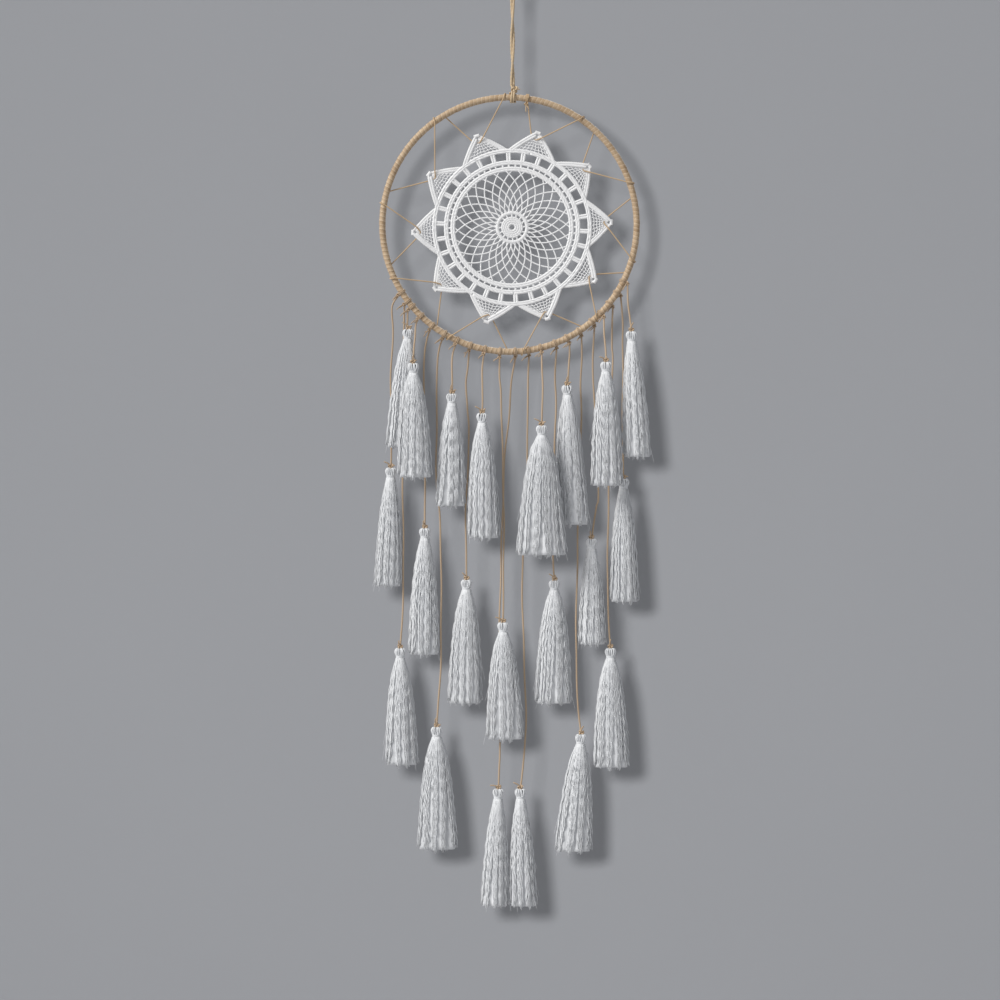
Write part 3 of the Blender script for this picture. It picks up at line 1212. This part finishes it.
class DREAMCATCHER_OT_tassels(bpy.types.Operator):
    """Makes the silky tassels: a looped head, a bound neck and a skirt of crimped threads"""

    bl_idname = "dreamcatcher.tassels"
    bl_label = "Tassels"

    def execute(self, context):
        s = context.scene.dream_catcher.tassels
        material = shared_material("silk", silk_material, tuple(s.light), tuple(s.dark), s.crimp)
        for i, strand in enumerate(FRINGE):
            self.rng = np.random.default_rng(900 + i)
            self.top = head_top(strand)
            self.hem = hang_place(strand[5], strand[2])
            self.length = self.top[2] - self.hem[2]
            self.half_w = strand[6] / 2
            self.half_d = min(SKIRT_DEPTH, strand[6]) / 2
            self.silk = Skein()
            self.locks()
            self.core()
            self.threads(s.threads)
            self.stray_fibres(s.strays)
            self.head()
            number = f"{i + 1:02d}"
            self.silk.piece(f"silk_tassel_{number}", material, f"strand_{number}", "silk", f"tassel_{number}")
        return {"FINISHED"}

    def middle(self, drop):
        """Middle of the tassel at a drop below its top"""
        share = np.asarray(drop, float)[..., None] / self.length
        return self.top + (self.hem - self.top) * share

    def skirt(self, u):
        """Half width and half depth of the skirt, u from the neck to the hem"""
        flare = min(1, max(0, (self.half_w - 13.5) / 5))
        shares = [a + (b - a) * flare for a, b in zip(WIDE_SHARES, FLARED_SHARES)]
        wide = np.interp(u, HEM_SHARES, (3.3, *(max(3.8, w * self.half_w) for w in shares)))
        deep = np.interp(u, HEM_SHARES, (3.0, *(max(3.2, d * self.half_d) for d in DEEP_SHARES)))
        return wide, deep

    def locks(self):
        """Places and sizes of the locks that the threads gather into"""
        count = 11 if self.half_w < 16 else 14
        self.lock_at = (np.arange(count) + self.rng.uniform(-0.28, 0.28, count)) * TURN / count
        self.lock_phase = self.rng.uniform(0, TURN, count)
        self.lock_size = self.rng.uniform(0.75, 1.1, count)
        self.lock_tint = self.rng.uniform(0.0, 1.0, count)

    def nearest_lock(self, angle):
        """The lock nearest to each angle, and how far off its middle the angle is, from -1 to 1"""
        gap = (angle[:, None] - self.lock_at[None, :] + math.pi) % TURN - math.pi
        which = np.abs(gap).argmin(axis=1)
        return which, gap[np.arange(len(angle)), which] / (math.pi / len(self.lock_at))

    def core(self):
        """Dense middle of the skirt, creased between its locks"""
        tube, ring, angle = straight_tube(88, 30)
        u = ring / 29 * 0.985
        which, off = self.nearest_lock(angle)
        crease = np.clip(1 - off**2, 0, 1) ** 0.5
        fine = 0.5 + 0.5 * np.sin(angle * 44 + 3 * np.sin(u * 7 + self.lock_phase[which]))
        wide, deep = self.skirt(u)
        size = 0.9 - 0.3 * u**1.2 * (1 - crease) - 0.03 * fine
        drop = NECK_END - 0.6 + (self.length - NECK_END) * u
        places = self.middle(drop)
        places[:, 0] += wide * size * np.cos(angle)
        places[:, 1] += deep * size * np.sin(angle)
        tint = 0.25 + 0.35 * self.lock_tint[which] + 0.2 * fine
        self.silk.add(tube, places, drop * MM, 0.15 + 0.6 * crease * fine, tint * (0.45 + 0.55 * crease))

    def threads(self, count):
        """Loose threads over the core, gathered into locks and crimped, with uneven ends"""
        rings = 32
        tube, ring, around = straight_tube(3, rings)
        rng = self.rng
        start = (np.arange(count) + rng.uniform(-0.4, 0.4, count)) * TURN / count
        which, off = self.nearest_lock(start)
        half = math.pi / len(self.lock_at)
        end = 1.008 - 0.05 * off**2 + rng.uniform(-0.012, 0.008, count) + 0.03 * (self.lock_size[which] - 0.9)
        end -= 0.05 * np.cos(start) ** 2
        layer = rng.uniform(0.86, 0.985, count)
        phase, own = rng.uniform(0, TURN, count), rng.random(count)
        length = self.length - NECK_END
        for i in range(count):
            t = ring / (rings - 1)
            u = t * end[i]
            pull = 0.5 * t**1.4
            drift = 0.05 * t * np.sin(TURN * 1.2 * t + self.lock_phase[which[i]])
            angle = start[i] - pull * off[i] * half + drift
            wide, deep = self.skirt(u)
            bulge = layer[i] * (1 + 0.05 * t * (1 - off[i] ** 2) * self.lock_size[which[i]])
            wave = TURN * u * length / 9.5 + phase[i] * 0.35 + self.lock_phase[which[i]]
            side = 0.34 * np.sin(wave) * np.minimum(1, 4 * t)
            out = 0.3 * np.cos(wave * 0.83 + 1) * np.minimum(1, 4 * t)
            r = 0.36 * (1 - 0.4 * t**8) * (1 + 0.3 * np.sin(wave * 2.3 + phase[i]))
            c, s = np.cos(angle), np.sin(angle)
            drop = NECK_END - 0.8 + (length + 0.8) * u
            places = self.middle(drop)
            reach = out + r * np.cos(around)
            sweep = side + r * np.sin(around)
            places[:, 0] += wide * bulge * c + reach * c - sweep * s
            places[:, 1] += deep * bulge * s + reach * s + sweep * c
            tint = 0.12 + 0.5 * own[i] + 0.38 * self.lock_tint[which[i]]
            self.silk.add(tube, places, drop * MM, 0.75, tint * (1 - 0.35 * off[i] ** 2))

    def stray_fibres(self, count):
        """Thin fibres that stand out of the skirt"""
        rng = self.rng
        for _ in range(count):
            angle = rng.uniform(0, TURN)
            u0 = rng.uniform(0.35, 0.85)
            u1 = min(1.03, u0 + rng.uniform(0.15, 0.35))
            flare = rng.uniform(0.8, 3.4)
            points = []
            for t in (0, 0.35, 0.7, 1):
                u = u0 + (u1 - u0) * t
                wide, deep = self.skirt(min(u, 1))
                place = self.middle(NECK_END + (self.length - NECK_END) * u)
                place[0] += (wide * 0.95 + flare * t**1.5) * math.cos(angle + 0.2 * t)
                place[1] += (deep * 0.95 + 0.4 * flare * t**1.5) * math.sin(angle + 0.2 * t)
                points.append(place)
            self.silk.lay(smooth_route(points, 1.6), 0.2, sides=3, tint=0.8, taper=0.5)

    def head(self):
        """Threads folded over the cord into a round head with a cleft, then bound at the neck"""
        for k in range(HEAD_THREADS):
            a = TURN * (k + 0.5) / HEAD_THREADS
            cleft = sum(math.exp(-(((a - side * math.pi) / 0.42) ** 2)) for side in (1.5, 0.5))
            size = 1 - 0.36 * cleft
            tilt = 0.25 * self.rng.uniform(-1, 1)
            points = []
            for r, drop in HEAD_LOOP:
                place = self.middle(drop)
                turn = a + tilt * (drop - 4) / 4
                place[0] += r * size * 1.08 * math.cos(turn)
                place[1] += r * size * 0.95 * math.sin(turn)
                points.append(place)
            tint = 0.45 + 0.5 * self.rng.random()
            self.silk.lay(smooth_route(points, 0.7), 1.15, sides=6, tint=tint, plies=2, pitch=6, cut=0.2)
        t = np.linspace(0, 1, 70)
        wrap = self.middle(5.7 + 1.8 * t)
        wrap[:, 0] += 3.1 * np.cos(TURN * 4 * t)
        wrap[:, 1] += 2.9 * np.sin(TURN * 4 * t)
        self.silk.lay(wrap, 0.62, sides=6, plies=2, pitch=2.2, cut=0.25, tint=0.55, first=(0, 0, 1))


# ---- Panel and registration ----

OPERATORS = (
    DREAMCATCHER_OT_stage,
    DREAMCATCHER_OT_fringe_cords,
    DREAMCATCHER_OT_hanging_cord,
    DREAMCATCHER_OT_lacing,
    DREAMCATCHER_OT_ties,
    DREAMCATCHER_OT_hoop,
    DREAMCATCHER_OT_doily,
    DREAMCATCHER_OT_tassels,
)


class DREAMCATCHER_PT_panel(bpy.types.Panel):
    """Lists the pieces of the dream catcher with their sizes and colours"""

    bl_idname = "DREAMCATCHER_PT_panel"
    bl_label = "Dream Catcher"
    bl_space_type = "VIEW_3D"
    bl_region_type = "UI"
    bl_category = "Dream Catcher"

    def draw(self, context):
        settings = context.scene.dream_catcher
        for operator in OPERATORS:
            self.layout.operator(operator.bl_idname)
        for group in ("stage", "cords", "hanger", "hoop", "doily", "lacing", "tassels"):
            box = self.layout.box()
            box.label(text=group.capitalize())
            part = getattr(settings, group)
            for key in part.__annotations__:
                box.prop(part, key)


CLASSES = (
    StageSettings,
    CordSettings,
    HangerSettings,
    HoopSettings,
    DoilySettings,
    LacingSettings,
    TasselSettings,
    DreamCatcherSettings,
    *OPERATORS,
    DREAMCATCHER_PT_panel,
)


def register():
    for cls in CLASSES:
        bpy.utils.register_class(cls)
    bpy.types.Scene.dream_catcher = bpy.props.PointerProperty(type=DreamCatcherSettings)


def unregister():
    del bpy.types.Scene.dream_catcher
    for cls in reversed(CLASSES):
        bpy.utils.unregister_class(cls)


def main():
    register()
    bpy.ops.dreamcatcher.stage()
    bpy.ops.dreamcatcher.fringe_cords()
    bpy.ops.dreamcatcher.hanging_cord()
    bpy.ops.dreamcatcher.lacing()
    bpy.ops.dreamcatcher.ties()
    bpy.ops.dreamcatcher.hoop()
    bpy.ops.dreamcatcher.doily()
    bpy.ops.dreamcatcher.tassels()
    for mesh, _, _ in straight_tubes.values():
        bpy.data.meshes.remove(mesh)


if __name__ == "__main__":
    main()
